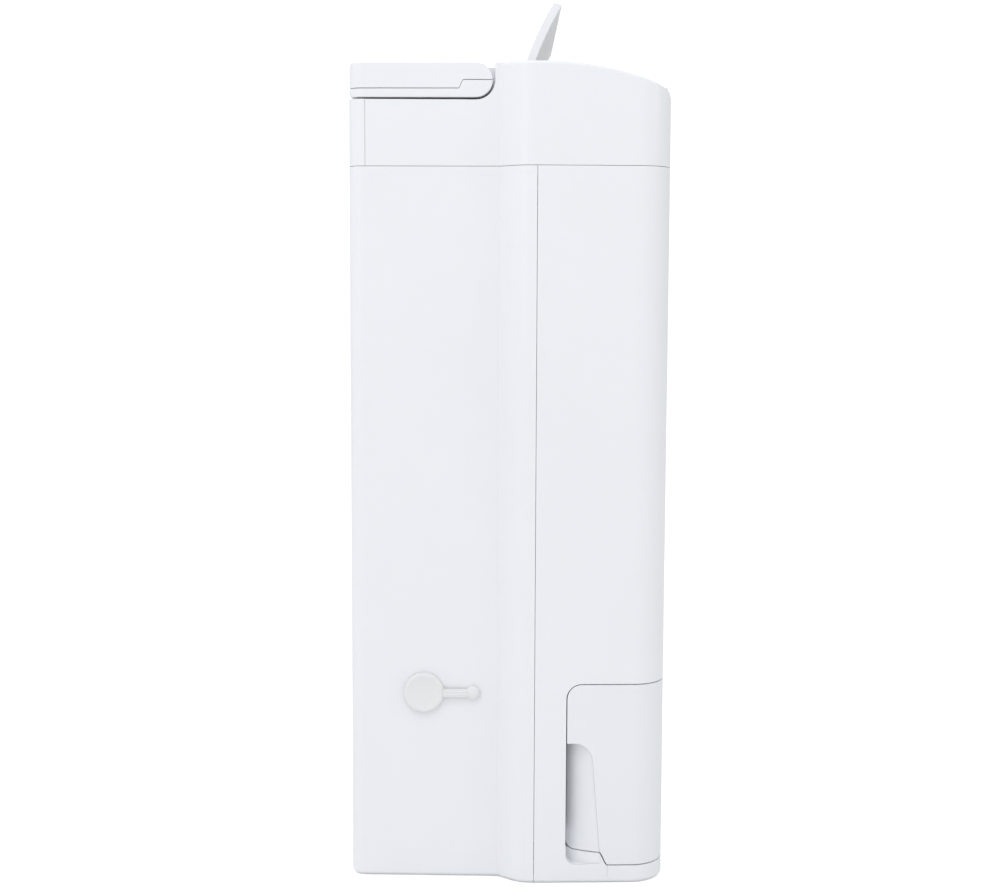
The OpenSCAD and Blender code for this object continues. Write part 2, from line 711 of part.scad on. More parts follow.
pan_z = 119.8;
module drain_pan() {
    color("gainsboro") difference() {
        union() {
            block([-116, 33, pan_z], [116, 83, 140]);
            block([-84, 38, 103], [-60, 61, pan_z + 1]);
            block([-10, 8, 134], [10, 34, 140]);
        }
        block([-114, 35, pan_z + 2.2], [114, 81, 145]);
        block([-82, 40, 105], [-62, 59, pan_z + 3]);
        block([-8, 10, 136], [8, 36, 145]);
        translate([0, lid_hole_y, 130]) cylinder(h = 10, r = 3.5);
        rod_x(-90, -78, plug_y, plug_z, 6.02);
    }
}

// ---- Condenser: two headers joined by upright tubes ----
module condenser() {
    color("lightsteelblue") {
        difference() {
            union() {
                block([-106, 65, 150], [106, 81, 164]);
                block([-106, 65, 384], [106, 81, 398]);
                both_sides() block([92, 67, pan_z + 2.3], [98, 79, 151]);
            }
            block([-104, 67, 152], [104, 79, 162.4]);
            block([-104, 67, 385.6], [104, 79, 396]);
            translate([0, 73, 148]) cylinder(h = 6, r = 2);
        }
        for (i = [-7:7]) translate([i * 13.6, 73, 163]) difference() {
            cylinder(h = 222, r = 5);
            translate([0, 0, -1]) cylinder(h = 224, r = 4);
        }
        translate([0, 73, 141]) difference() {
            cylinder(h = 10, r = 3);
            translate([0, 0, -1]) cylinder(h = 12, r = 2);
        }
    }
}

// ---- Desiccant wheel and its drive ----
wheel_z = 290;
wheel_y0 = 40;
wheel_y1 = 58;
wheel_teeth = 80;
pinion_teeth = 10;
gear_module = 2.6;
ring_pitch_r = gear_module * wheel_teeth / 2;
pinion_pitch_r = gear_module * pinion_teeth / 2;
pinion_x = (ring_pitch_r + pinion_pitch_r) * cos(-45);
pinion_z = wheel_z + (ring_pitch_r + pinion_pitch_r) * sin(-45);
// Gear outline with straight-sided teeth, thin enough to run with backlash.
// One tooth points along the angle phase.
function gear_outline(teeth, pitch_r, phase) = [for (i = [0:teeth - 1], k = [0:3])
    let (step = 360 / teeth, a = phase + step * (i + [-0.27, -0.12, 0.12, 0.27][k]),
        r = pitch_r + ((k == 1 || k == 2) ? 0.85 : -1.1) * gear_module) [r * cos(a), r * sin(a)]];

module wheel_frame() {
    color("gainsboro") translate([0, 0, wheel_z]) difference() {
        union() {
            difference() {
                prism_y(36, 62) polygon(rounded_rect(224, 222, 4));
                prism_y(35, 63) circle(ring_pitch_r + 4);
                prism_y(38, 63) translate([pinion_x, pinion_z - wheel_z]) circle(pinion_pitch_r + 4);
            }
            // Spokes that carry the axle, in front of the wheel
            for (a = [45, 135, 225, 315]) rotate([0, a, 0]) block([8, 36, -3], [112, 38.4, 3]);
            prism_y(35.8, 38.4) circle(11);
            both_sides() block([100, 44, pan_z + 2.3 - wheel_z], [111, 56, -108]);
        }
        rod_y(30, 40, 0, 0, 4);
        rod_y(30, 40, pinion_x, pinion_z - wheel_z, 4.6);
    }
}
module desiccant_wheel() {
    color("bisque") translate([0, 0, wheel_z]) prism_y(wheel_y0, wheel_y1) difference() {
        circle(wheel_r, $fn = 96);
        circle(12);
    }
}
module ring_gear() {
    color("ivory") translate([0, 0, wheel_z]) prism_y(wheel_y0 - 0.5, wheel_y1 + 0.5) difference() {
        polygon(gear_outline(wheel_teeth, ring_pitch_r, -45));
        circle(wheel_r + 0.1, $fn = 96);
    }
}
module wheel_hub() {
    color("ivory") translate([0, 0, wheel_z]) difference() {
        union() {
            rod_y(wheel_y0 - 0.5, wheel_y1 + 2, 0, 0, 11.9);
            rod_y(wheel_y1 + 0.1, wheel_y1 + 2, 0, 0, 18);
            for (a = [0:60:300]) rotate([0, a, 0])
                block([14, wheel_y1 + 0.6, -1.5], [ring_pitch_r - 5, wheel_y1 + 2, 1.5]);
        }
        rod_y(30, 70, 0, 0, 4.05);
    }
}
module wheel_axle() {
    color("silver") translate([0, 0, wheel_z]) {
        rod_y(33, wheel_y1 + 3, 0, 0, 3.98);
        rod_y(wheel_y1 + 2.2, wheel_y1 + 4, 0, 0, 7);
        rod_y(33, 35.6, 0, 0, 7);
    }
}
module drive_pinion() {
    color("ivory") translate([pinion_x, 0, pinion_z]) difference() {
        union() {
            prism_y(wheel_y0, wheel_y1)
                polygon(gear_outline(pinion_teeth, pinion_pitch_r, 135 + 180 / pinion_teeth));
            rod_y(33.5, wheel_y0 + 0.1, 0, 0, 4.4);
        }
        rod_y(30, 50, 0, 0, 2.5);
    }
}
module gear_motor() {
    color("silver") translate([pinion_x, 0, pinion_z]) {
        rod_y(17, 33.2, 0, 0, 20);
        rod_y(33, 46, 0, 0, 2.45);
        both_sides() block([18, 32.9, -4], [29, 35.9, 4]);
        block([-8, 14, 14], [8, 17.2, 22]);
    }
}

// ---- Heater over one sector of the wheel ----
heater_a0 = 62;
heater_a1 = 118;
function sector(r0, r1, a0, a1, n = 8) =
    concat(arc([0, 0], r1, r1, a0, a1, n), arc([0, 0], r0, r0, a1, a0, n));
module heater_case() {
    color("silver") translate([0, 0, wheel_z]) difference() {
        union() {
            prism_y(20, 35.9) polygon(sector(24, 92, heater_a0, heater_a1));
            for (a = [heater_a0 + 8, heater_a1 - 8]) rotate([0, -a, 0])
                block([90, 33.5, -5], [112, 35.9, 5]);
        }
        prism_y(21, 37) polygon(sector(26, 90, heater_a0 + 2, heater_a1 - 2));
        rod_y(18, 22, 0, 38, 9);
    }
}
module heater_element() {
    color("peru") translate([0, 0, wheel_z]) {
        for (r = [46:8:86]) prism_y(24, 31)
            polygon(sector(r - 0.6, r + 0.6, heater_a0 + 6, heater_a1 - 6, 6));
        for (a = [heater_a0 + 12, heater_a1 - 12]) rotate([0, -a, 0]) block([44, 26, -0.9], [88, 29, 0.9]);
    }
}
regen_x = 0;
regen_z = wheel_z + 38;
module regen_scroll() {
    color("gainsboro") translate([regen_x, 0, regen_z]) difference() {
        rod_y(8, 19.8, 0, 0, 30);
        rod_y(9.2, 18.6, 0, 0, 28.8);
        rod_y(18, 21, 0, 0, 8.8);
        rod_y(6, 10, 0, 0, 12.6);
    }
}
module regen_impeller() {
    color("ivory") translate([regen_x, 0, regen_z]) {
        difference() { rod_y(10, 11, 0, 0, 25); rod_y(9, 12, 0, 0, 1.5); }
        difference() { rod_y(10, 17, 0, 0, 4); rod_y(9, 18, 0, 0, 1.5); }
        for (i = [0:15]) rotate([0, i * 22.5, 0]) block([17, 10.9, -0.5], [25, 17, 0.5]);
    }
}
module regen_motor() {
    color("silver") translate([regen_x, 0, regen_z]) {
        rod_y(7.1, 8.9, 0, 0, 12.4);
        rod_y(7, 16, 0, 0, 1.45);
    }
}

// ---- Main fan: a scroll that blows up to the louvre ----
fan_z = 276;
scroll_y0 = -74;
scroll_y1 = 5.5;
fan_r = 68;
fan_y0 = -60;
fan_y1 = -3;
function scroll_outline(inset) = concat(
    [for (i = [0:24]) let (a = 20 - i * 300 / 24, r = 78 + 24 * i / 24 - inset) [r * cos(a), r * sin(a)]],
    [[-102 + inset, 146], [102 - inset, 146], [102 - inset, 100], [82 - inset, 60]]);
module fan_scroll() {
    color("gainsboro") translate([0, 0, fan_z]) difference() {
        union() {
            prism_y(scroll_y0, scroll_y1) polygon(scroll_outline(0));
            for (y = [-28, 0]) block([-45, y, 172.6 - fan_z], [45, y + 5, -62]);
        }
        prism_y(scroll_y0 + 2, scroll_y1 - 2)
            polygon([for (p = scroll_outline(2)) [p[0], p[1] > 140 ? 160 : p[1]]]);
        rod_y(0, 10, 0, 0, 54);
        rod_y(scroll_y0 - 5, scroll_y0 + 5, 0, 0, 35.5);
    }
}
blade_count = 30;
module fan_wheel() {
    color("slategray") translate([0, 0, fan_z]) {
        difference() {
            rod_y(fan_y0, fan_y0 + 2, 0, 0, fan_r);
            rod_y(fan_y0 - 1, fan_y0 + 3, 0, 0, 40);
        }
        difference() {
            rod_y(fan_y1 - 4, fan_y1, 0, 0, fan_r);
            rod_y(fan_y1 - 5, fan_y1 + 1, 0, 0, 58);
        }
        // Cup over the motor, with the hub in its bottom
        difference() {
            union() {
                rod_y(fan_y0, -38, 0, 0, 42);
                rod_y(-39, -24, 0, 0, 10);
            }
            rod_y(fan_y0 - 1, -40, 0, 0, 39.8);
            rod_y(-45, -20, 0, 0, shaft_r + 0.05);
        }
        for (i = [0:blade_count - 1]) rotate([0, i * 360 / blade_count, 0])
            translate([63, 0, 0]) rotate([0, 32, 0]) block([-5, fan_y0 + 1.9, -0.6], [5, fan_y1 - 3.9, 0.6]);
    }
}
shaft_r = 4;
module fan_motor() {
    color("silver") translate([0, 0, fan_z]) {
        rod_y(-86, -44, 0, 0, 34);
        rod_y(scroll_y0 - 2.2, scroll_y0 - 0.1, 0, 0, 44);
    }
}
module motor_shaft() {
    color("silver") translate([0, 0, fan_z]) rod_y(-43.9, -22, 0, 0, shaft_r);
}

module main_board() {
    color("darkgreen") {
        block([120, -78, 180], [121.6, -30, 300]);
        for (z = [195, 225, 262, 285]) block([112, -70, z - 7], [120.1, -56, z + 7]);
        for (z = [200, 235, 270]) rod_x(108, 120.1, -42, z, 6);
    }
}
module board_cover() {
    color("gainsboro") difference() {
        block([105, -82, 174], [123.5, -26, 306]);
        block([106.6, -80.4, 175.6], [125, -27.6, 304.4]);
        for (i = [0:7]) block([100, -74, 190 + i * 14], [110, -34, 193 + i * 14]);
    }
}

rear_shell();
front_shell();
top_housing();
rear_trim();
chassis();
inner_supports();
bay_lining();
rubber_feet();
screws();
cord_grommet();
handle_cover();
handle_base();
handle_pins();
louvre_flap();
louvre_pins();
outlet_duct();
outlet_fins();
control_panel();
indicator_lenses();
control_board();
button(button_xs[0]);  // power_button
button(button_xs[1]);  // mode_button
button(button_xs[2]);  // timer_button
button(button_xs[3]);  // louvre_button
filter_cover();
filter_frame();
filter_mesh();
drain_plug();
plug_strap();
drain_spout();
water_tank();
tank_lid();
tank_window();
tank_handle();
float_arm();
float_block();
float_magnet();
level_sensor();
tank_switch();
switch_plunger();
drain_pan();
condenser();
wheel_frame();
desiccant_wheel();
ring_gear();
wheel_hub();
wheel_axle();
drive_pinion();
gear_motor();
heater_case();
heater_element();
regen_scroll();
regen_impeller();
regen_motor();
fan_scroll();
fan_wheel();
fan_motor();
motor_shaft();
main_board();
board_cover();
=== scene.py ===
# %% [markdown]
# # A compact desiccant dehumidifier
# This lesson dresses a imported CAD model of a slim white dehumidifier. The CAD nodes already have the right
# sizes and joints. Here each visible one gets soft edges, smooth shading and a finish that looks moulded,
# and a few pieces that CAD can only draw simply, such as the rubber plug, are modelled again in mesh code.
# The front faces -Y, Z is up, and every length is in metres.

# %% Load the frame
import json
import math
import bmesh
import bpy
from mathutils import Euler, Matrix, Vector


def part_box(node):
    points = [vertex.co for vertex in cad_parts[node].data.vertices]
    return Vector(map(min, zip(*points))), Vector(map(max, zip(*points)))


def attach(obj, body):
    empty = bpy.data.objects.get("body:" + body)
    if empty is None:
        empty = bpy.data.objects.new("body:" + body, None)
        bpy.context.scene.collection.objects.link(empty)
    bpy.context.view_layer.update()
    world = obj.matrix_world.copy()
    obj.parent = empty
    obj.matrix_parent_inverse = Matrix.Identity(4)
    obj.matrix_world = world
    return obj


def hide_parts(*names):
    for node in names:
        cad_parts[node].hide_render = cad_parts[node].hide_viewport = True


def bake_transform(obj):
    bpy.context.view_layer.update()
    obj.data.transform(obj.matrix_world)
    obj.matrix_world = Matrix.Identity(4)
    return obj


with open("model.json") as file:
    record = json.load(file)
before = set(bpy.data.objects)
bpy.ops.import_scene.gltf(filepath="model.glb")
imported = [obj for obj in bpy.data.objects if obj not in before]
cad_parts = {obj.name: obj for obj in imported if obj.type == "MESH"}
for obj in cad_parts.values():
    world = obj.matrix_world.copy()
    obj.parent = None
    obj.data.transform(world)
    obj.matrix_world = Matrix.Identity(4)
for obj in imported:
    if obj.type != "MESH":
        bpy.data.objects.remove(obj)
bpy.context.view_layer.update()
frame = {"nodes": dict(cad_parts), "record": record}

MM = 0.001
record = frame["record"]
body_of_node = {node: body for body, nodes in record["behaviour"]["bodies"].items() for node in nodes}
slot_of_node = {entry["node"]: entry["material_slot"] for entry in record["subparts"]}

# %% Shared places
X, Y, Z = 0, 1, 2
rear_low, rear_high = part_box("rear_shell")
trim_low, trim_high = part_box("rear_trim")
plug_low, plug_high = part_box("drain_plug")
LID_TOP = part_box("top_housing")[1][Z]
FRONT_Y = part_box("front_shell")[0][Y]
SHELL_FOOT = rear_low[Z]
LID_SEAM = rear_high[Z]
LID_FOOT = trim_low[Z]
SHELF = trim_high[Z]
print("lid top", round(LID_TOP, 4), "seam", round(LID_SEAM, 4), "shelf", round(SHELF, 4))

# %% [markdown]
# ## Turning a CAD node into a moulded piece
# A CAD export is made of long thin triangles with razor-sharp corners, and real mouldings never have those:
# the tool leaves a small radius on every edge, and that radius is what catches the light. The recipe is the
# one used for any hard-surface model. Weld the triangles, merge the flat ones, bevel the sharp edges, then
# let a Weighted Normal modifier keep the big faces flat and the bevels smooth.

# %% Weld, merge and bevel
COLLECTION = bpy.context.scene.collection
WELD = 0.002 * MM
FLAT_ANGLE = math.radians(0.6)
ROUND_ANGLE = math.radians(24)
CREASE_ANGLE = math.radians(38)
BEVEL_ANGLE = math.radians(40)
ON_FACE = 0.06 * MM


def welded_copy(node):
    """A bmesh of one CAD node, welded, with coplanar triangles merged."""
    mesh = bmesh.new()
    mesh.from_mesh(frame["nodes"][node].data)
    bmesh.ops.remove_doubles(mesh, verts=mesh.verts, dist=WELD)
    bmesh.ops.dissolve_limit(mesh, angle_limit=FLAT_ANGLE, verts=mesh.verts, edges=mesh.edges)
    return mesh


def sharp_edges(mesh, angle):
    """Edges whose two faces meet at more than the angle."""
    return [e for e in mesh.edges if len(e.link_faces) == 2 and e.calc_face_angle(0) > angle]


def bevel(mesh, edges, width, segments=2):
    """Rounds the edges with a circular profile."""
    if edges:
        bmesh.ops.bevel(mesh, geom=edges, offset=width, offset_type="OFFSET", segments=segments,
                        profile=0.5, affect="EDGES", clamp_overlap=False, miter_outer="ARC")


def finish_mesh(mesh, name, body, material, nodes=()):
    """Writes the mesh to an object that replaces its CAD nodes, and rides on its body if one is named."""
    for face in mesh.faces:
        face.smooth = True
    for edge in mesh.edges:
        edge.smooth = not (len(edge.link_faces) == 2 and edge.calc_face_angle(0) > CREASE_ANGLE)
    data = bpy.data.meshes.new(name)
    mesh.to_mesh(data)
    mesh.free()
    piece = bpy.data.objects.new(name, data)
    COLLECTION.objects.link(piece)
    data.materials.append(material)
    weighted = piece.modifiers.new("flat_faces_stay_flat", "WEIGHTED_NORMAL")
    weighted.keep_sharp = True
    weighted.weight = 60
    if body:
        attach(piece, body)
    if nodes:
        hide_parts(*nodes)
    return piece


def moulded(node, material, edge, rounds=(), fits=(), crisp=lambda e: False):
    """A softened stand-in for one CAD node, with every sharp edge bevelled by the given width.

    rounds lists (test, radius, segments) for bigger radii, and fits lists (axis, place, shift) for flat faces
    that are drawn up to their neighbour. Edges that pass the crisp test stay sharp.
    """
    mesh = welded_copy(node)
    for axis, place, shift in fits:
        for vertex in mesh.verts:
            if abs(vertex.co[axis] - place) < ON_FACE:
                vertex.co[axis] += shift
    for test, radius, steps in rounds:
        bevel(mesh, [e for e in sharp_edges(mesh, ROUND_ANGLE) if test(e)], radius, steps)
    if edge:
        bevel(mesh, [e for e in sharp_edges(mesh, BEVEL_ANGLE) if not crisp(e)], edge)
    count = len(mesh.faces)
    finish_mesh(mesh, node + "_skin", body_of_node[node], material, (node,))
    print("moulded", node, count, "faces")


# %% [markdown]
# ## Grain, edge wear and dust as node groups
# Three effects turn up on nearly every moulded piece. Grain is the faint orange peel that a tool leaves in
# plastic. Wear lightens the edges that hands and cloths rub. Dust dulls surfaces that face up. Each is built
# once as a node group that gives out only a value, and the Principled shader stays in the material.

# %% Node groups
def new_group(name, inputs, outputs):
    group = bpy.data.node_groups.new(name, "ShaderNodeTree")
    for label, default in inputs:
        socket = group.interface.new_socket(name=label, in_out="INPUT", socket_type="NodeSocketFloat")
        socket.default_value = default
    for label in outputs:
        group.interface.new_socket(name=label, in_out="OUTPUT", socket_type="NodeSocketFloat")
    return group, group.nodes.new("NodeGroupInput"), group.nodes.new("NodeGroupOutput")


def math_node(tree, operation, a, b=None, clamp=False):
    node = tree.nodes.new("ShaderNodeMath")
    node.operation = operation
    node.use_clamp = clamp
    for index, value in enumerate((a, b)):
        if value is None:
            continue
        if isinstance(value, (int, float)):
            node.inputs[index].default_value = value
        else:
            tree.links.new(value, node.inputs[index])
    return node.outputs[0]


def noise_node(tree, scale, detail=2.0, roughness=0.5, vector=None):
    node = tree.nodes.new("ShaderNodeTexNoise")
    node.inputs["Detail"].default_value = detail
    node.inputs["Roughness"].default_value = roughness
    if isinstance(scale, (int, float)):
        node.inputs["Scale"].default_value = scale
    else:
        tree.links.new(scale, node.inputs["Scale"])
    if vector is not None:
        tree.links.new(vector, node.inputs["Vector"])
    return node.outputs["Fac"]


def moulding_grain():
    """Height: fine peel on a slow waviness. Patches: slow variation for colour and gloss."""
    group, inside, outside = new_group("moulding_grain", [("Scale", 900.0), ("Waviness", 0.3)],
                                       ["Height", "Patches"])
    place = group.nodes.new("ShaderNodeTexCoord").outputs["Object"]
    fine = noise_node(group, inside.outputs["Scale"], 3.0, 0.55, place)
    slow = noise_node(group, 14.0, 2.0, 0.5, place)
    mixed = math_node(group, "ADD", fine, math_node(group, "MULTIPLY", slow, inside.outputs["Waviness"]))
    group.links.new(mixed, outside.inputs["Height"])
    group.links.new(noise_node(group, 9.0, 3.0, 0.6, place), outside.inputs["Patches"])
    return group


def edge_wear():
    """Wear: 1 on the rubbed ridges, broken up by noise, and 0 on the flats."""
    group, inside, outside = new_group("edge_wear", [("Amount", 0.5), ("Break Up", 60.0)], ["Wear"])
    place = group.nodes.new("ShaderNodeTexCoord").outputs["Object"]
    ridge = group.nodes.new("ShaderNodeNewGeometry").outputs["Pointiness"]
    raised = math_node(group, "MULTIPLY", math_node(group, "SUBTRACT", ridge, 0.52), 9.0, clamp=True)
    broken = noise_node(group, inside.outputs["Break Up"], 4.0, 0.65, place)
    worn = math_node(group, "MULTIPLY", math_node(group, "MULTIPLY", raised, broken),
                     inside.outputs["Amount"], clamp=True)
    group.links.new(worn, outside.inputs["Wear"])
    return group


def settled_dust():
    """Dust: more on faces that look up, in soft specks."""
    group, inside, outside = new_group("settled_dust", [("Amount", 0.2), ("Speck Scale", 400.0)], ["Dust"])
    place = group.nodes.new("ShaderNodeTexCoord").outputs["Object"]
    split = group.nodes.new("ShaderNodeSeparateXYZ")
    group.links.new(group.nodes.new("ShaderNodeNewGeometry").outputs["Normal"], split.inputs[0])
    up = math_node(group, "MULTIPLY", split.outputs["Z"], 0.8, clamp=True)
    specks = noise_node(group, inside.outputs["Speck Scale"], 2.0, 0.6, place)
    settled = math_node(group, "MULTIPLY", math_node(group, "MULTIPLY", up, specks),
                        inside.outputs["Amount"])
    group.links.new(settled, outside.inputs["Dust"])
    return group


GRAIN = moulding_grain()
WEAR = edge_wear()
DUST = settled_dust()
print("groups", [g.name for g in bpy.data.node_groups])

# %% [markdown]
# ## One recipe for moulded plastic
# White appliance plastic is ABS: almost neutral, with a soft gloss and a very faint peel. The colour drifts
# by a percent or two over the surface, edges that are handled turn slightly paler and rougher, and the top
# gathers a little dust. The same recipe with other numbers gives matt black, grey, nylon and rubber.

# %% Plastic recipe
def group_node(tree, group, **values):
    node = tree.nodes.new("ShaderNodeGroup")
    node.node_tree = group
    for label, value in values.items():
        node.inputs[label.replace("_", " ")].default_value = value
    return node


def mix_colours(tree, factor, first, second):
    node = tree.nodes.new("ShaderNodeMix")
    node.data_type = "RGBA"
    for index, value in ((6, first), (7, second)):
        if isinstance(value, tuple):
            node.inputs[index].default_value = (*value, 1.0)
        else:
            tree.links.new(value, node.inputs[index])
    if isinstance(factor, (int, float)):
        node.inputs[0].default_value = factor
    else:
        tree.links.new(factor, node.inputs[0])
    return node.outputs[2]


def blank_material(name):
    material = bpy.data.materials.new(name)
    material.use_nodes = True
    shader = material.node_tree.nodes["Principled BSDF"]
    return material, material.node_tree, shader


def bump(tree, shader, height, strength, distance):
    node = tree.nodes.new("ShaderNodeBump")
    node.inputs["Strength"].default_value = strength
    node.inputs["Distance"].default_value = distance
    tree.links.new(height, node.inputs["Height"])
    tree.links.new(node.outputs["Normal"], shader.inputs["Normal"])


DUST_COLOUR = (0.78, 0.77, 0.75)
GLOSS_DRIFT = 0.08
WORN_GLOSS = 0.15
PEEL_HEIGHT = 0.05 * MM


def plastic(name, colour, roughness, grain=900.0, peel=0.1, wear=0.35, dust=0.15, drift=0.02, coat=0.0):
    """Moulded plastic: drifting colour, grain bump, worn edges, a little dust."""
    material, tree, shader = blank_material(name)
    skin = group_node(tree, GRAIN, Scale=grain)
    worn = group_node(tree, WEAR, Amount=wear)
    settled = group_node(tree, DUST, Amount=dust)
    darker = tuple(c * (1 - drift) for c in colour)
    lighter = tuple(min(1.0, c * (1 + drift)) for c in colour)
    base = mix_colours(tree, skin.outputs["Patches"], darker, lighter)
    rubbed = tuple(min(1.0, c * 1.05 + 0.03) for c in colour)
    base = mix_colours(tree, worn.outputs["Wear"], base, rubbed)
    base = mix_colours(tree, settled.outputs["Dust"], base, DUST_COLOUR)
    tree.links.new(base, shader.inputs["Base Color"])
    gloss = math_node(tree, "ADD", math_node(tree, "MULTIPLY", skin.outputs["Patches"], GLOSS_DRIFT),
                      roughness - GLOSS_DRIFT / 2)
    gloss = math_node(tree, "ADD", gloss, math_node(tree, "MULTIPLY", worn.outputs["Wear"], WORN_GLOSS))
    gloss = math_node(tree, "ADD", gloss, settled.outputs["Dust"], clamp=True)
    tree.links.new(gloss, shader.inputs["Roughness"])
    shader.inputs["Coat Weight"].default_value = coat
    shader.inputs["Coat Roughness"].default_value = 0.12
    bump(tree, shader, skin.outputs["Height"], peel, PEEL_HEIGHT)
    return material


WHITE = (0.83, 0.845, 0.875)
finishes = {
    "white_shell": plastic("white_shell", WHITE, 0.30, coat=0.25),
    "white_trim": plastic("white_trim", (0.825, 0.84, 0.87), 0.32, coat=0.2),
    "tank_white": plastic("tank_white", (0.815, 0.83, 0.865), 0.30, coat=0.25),
    "grey_plastic": plastic("grey_plastic", (0.45, 0.46, 0.47), 0.5, grain=700.0, peel=0.3, drift=0.04),
    "dark_plastic": plastic("dark_plastic", (0.030, 0.031, 0.033), 0.55, grain=700.0, peel=0.35, drift=0.08),
    "panel_grey": plastic("panel_grey", (0.60, 0.63, 0.66), 0.22, grain=1200.0, peel=0.06, coat=0.5),
    "nylon": plastic("nylon", (0.72, 0.69, 0.60), 0.45, grain=500.0, peel=0.2, drift=0.05),
    "fan_grey": plastic("fan_grey", (0.10, 0.108, 0.12), 0.45, grain=600.0, peel=0.3, dust=0.5, drift=0.06),
    "condenser_blue": plastic("condenser_blue", (0.42, 0.50, 0.58), 0.35, grain=300.0, peel=0.25, drift=0.06),
    "red_plastic": plastic("red_plastic", (0.42, 0.03, 0.02), 0.4, peel=0.2),
    "white_rubber": plastic("white_rubber", (0.79, 0.79, 0.80), 0.55, grain=1500.0, peel=0.5, wear=0.2,
                            dust=0.4),
    "dark_rubber": plastic("dark_rubber", (0.022, 0.022, 0.024), 0.75, grain=1500.0, peel=0.6, dust=0.5),
    "circuit_board": plastic("circuit_board", (0.012, 0.10, 0.035), 0.35, grain=350.0, peel=0.4, drift=0.12),
}
print("plastics", len(finishes))

# %% [markdown]
# ## Metals
# The screws, pins, motor cans and the heater's tin are bare metal. Metal shows its working marks before
# anything else: turned parts have fine rings and rolled sheet has a one-way brush. A noise that is stretched
# along one axis gives that brush, in both the roughness and the bump.

# %% Metal recipe
TARNISH = (0.35, 0.33, 0.31)


def brushed_metal(name, colour, roughness, stretch=(40.0, 40.0, 900.0), spots=0.25):
    """Bare metal with a brushed grain along one axis and slow tarnish."""
    material, tree, shader = blank_material(name)
    place = tree.nodes.new("ShaderNodeTexCoord").outputs["Object"]
    scaled = tree.nodes.new("ShaderNodeMapping")
    scaled.inputs["Scale"].default_value = stretch
    tree.links.new(place, scaled.inputs["Vector"])
    brush = noise_node(tree, 1.0, 4.0, 0.6, scaled.outputs["Vector"])
    stain = noise_node(tree, 35.0, 4.0, 0.6, place)
    mask = math_node(tree, "MULTIPLY", math_node(tree, "SUBTRACT", stain, 0.5), 3.0, clamp=True)
    colour_out = mix_colours(tree, math_node(tree, "MULTIPLY", mask, spots), colour, TARNISH)
    tree.links.new(colour_out, shader.inputs["Base Color"])
    gloss = math_node(tree, "ADD", math_node(tree, "MULTIPLY", brush, 0.2), roughness - 0.1)
    gloss = math_node(tree, "ADD", gloss, math_node(tree, "MULTIPLY", mask, 0.15))
    tree.links.new(gloss, shader.inputs["Roughness"])
    shader.inputs["Metallic"].default_value = 1.0
    bump(tree, shader, brush, 0.25, 0.03 * MM)
    return material


finishes["steel"] = brushed_metal("steel", (0.52, 0.52, 0.53), 0.32)
finishes["aluminium"] = brushed_metal("aluminium", (0.66, 0.67, 0.69), 0.38, (500.0, 500.0, 30.0))
finishes["copper_wire"] = brushed_metal("copper_wire", (0.42, 0.20, 0.10), 0.5, (300.0,) * 3, spots=0.6)
print("metals added", len(finishes))

# %% [markdown]
# ## Clear parts
# The level window and the indicator lenses are clear mouldings. Light has to pass through them, so they use
# the Principled transmission with a light tint. The tint drifts slightly and the surface keeps a trace of
# grain.

# %% Clear plastic recipe
ACRYLIC_IOR = 1.49


def clear_plastic(name, tint, roughness):
    material, tree, shader = blank_material(name)
    skin = group_node(tree, GRAIN, Scale=600.0)
    darker = tuple(c * 0.94 for c in tint)
    tree.links.new(mix_colours(tree, skin.outputs["Patches"], darker, tint), shader.inputs["Base Color"])
    gloss = math_node(tree, "ADD", math_node(tree, "MULTIPLY", skin.outputs["Patches"], 0.06), roughness)
    tree.links.new(gloss, shader.inputs["Roughness"])
    shader.inputs["Transmission Weight"].default_value = 0.85
    shader.inputs["IOR"].default_value = ACRYLIC_IOR
    bump(tree, shader, skin.outputs["Height"], 0.08, 0.04 * MM)
    return material


finishes["clear_blue"] = clear_plastic("clear_blue", (0.55, 0.68, 0.78), 0.12)
finishes["lens"] = clear_plastic("lens", (0.80, 0.92, 0.84), 0.2)
print("clear finishes added")

# %% [markdown]
# ## Honeycomb and mesh
# The drying wheel is corrugated ceramic paper wound into a honeycomb, and the filter is a woven nylon net.
# Both are far too fine to model cell by cell, so a Voronoi pattern draws the cells of the wheel, with the
# open middle of each cell painted dark as painted shade for the depth of its channel, and two crossed waves
# draw the threads of the net, where the gaps between threads are really open.

# %% Honeycomb and mesh recipes
def honeycomb(name, wall=(0.70, 0.60, 0.44), painted_cell_shade=(0.10, 0.08, 0.06), cell=620.0):
    material, tree, shader = blank_material(name)
    place = tree.nodes.new("ShaderNodeTexCoord").outputs["Object"]
    cells = tree.nodes.new("ShaderNodeTexVoronoi")
    cells.feature = "DISTANCE_TO_EDGE"
    cells.inputs["Scale"].default_value = cell
    cells.inputs["Randomness"].default_value = 0.35
    tree.links.new(place, cells.inputs["Vector"])
    inside_cell = math_node(tree, "MULTIPLY", cells.outputs["Distance"], 4.5, clamp=True)
    stain = noise_node(tree, 25.0, 4.0, 0.6, place)
    walls = mix_colours(tree, stain, tuple(c * 0.8 for c in wall), wall)
    # The middle of each cell is painted dark brown: painted shade for the deep open channel, not the paper's
    # colour.
    tree.links.new(mix_colours(tree, inside_cell, walls, painted_cell_shade), shader.inputs["Base Color"])
    gloss = math_node(tree, "ADD", math_node(tree, "MULTIPLY", stain, 0.2), 0.7)
    tree.links.new(gloss, shader.inputs["Roughness"])
    bump(tree, shader, math_node(tree, "SUBTRACT", 1.0, inside_cell), 0.6, 0.4 * MM)
    return material


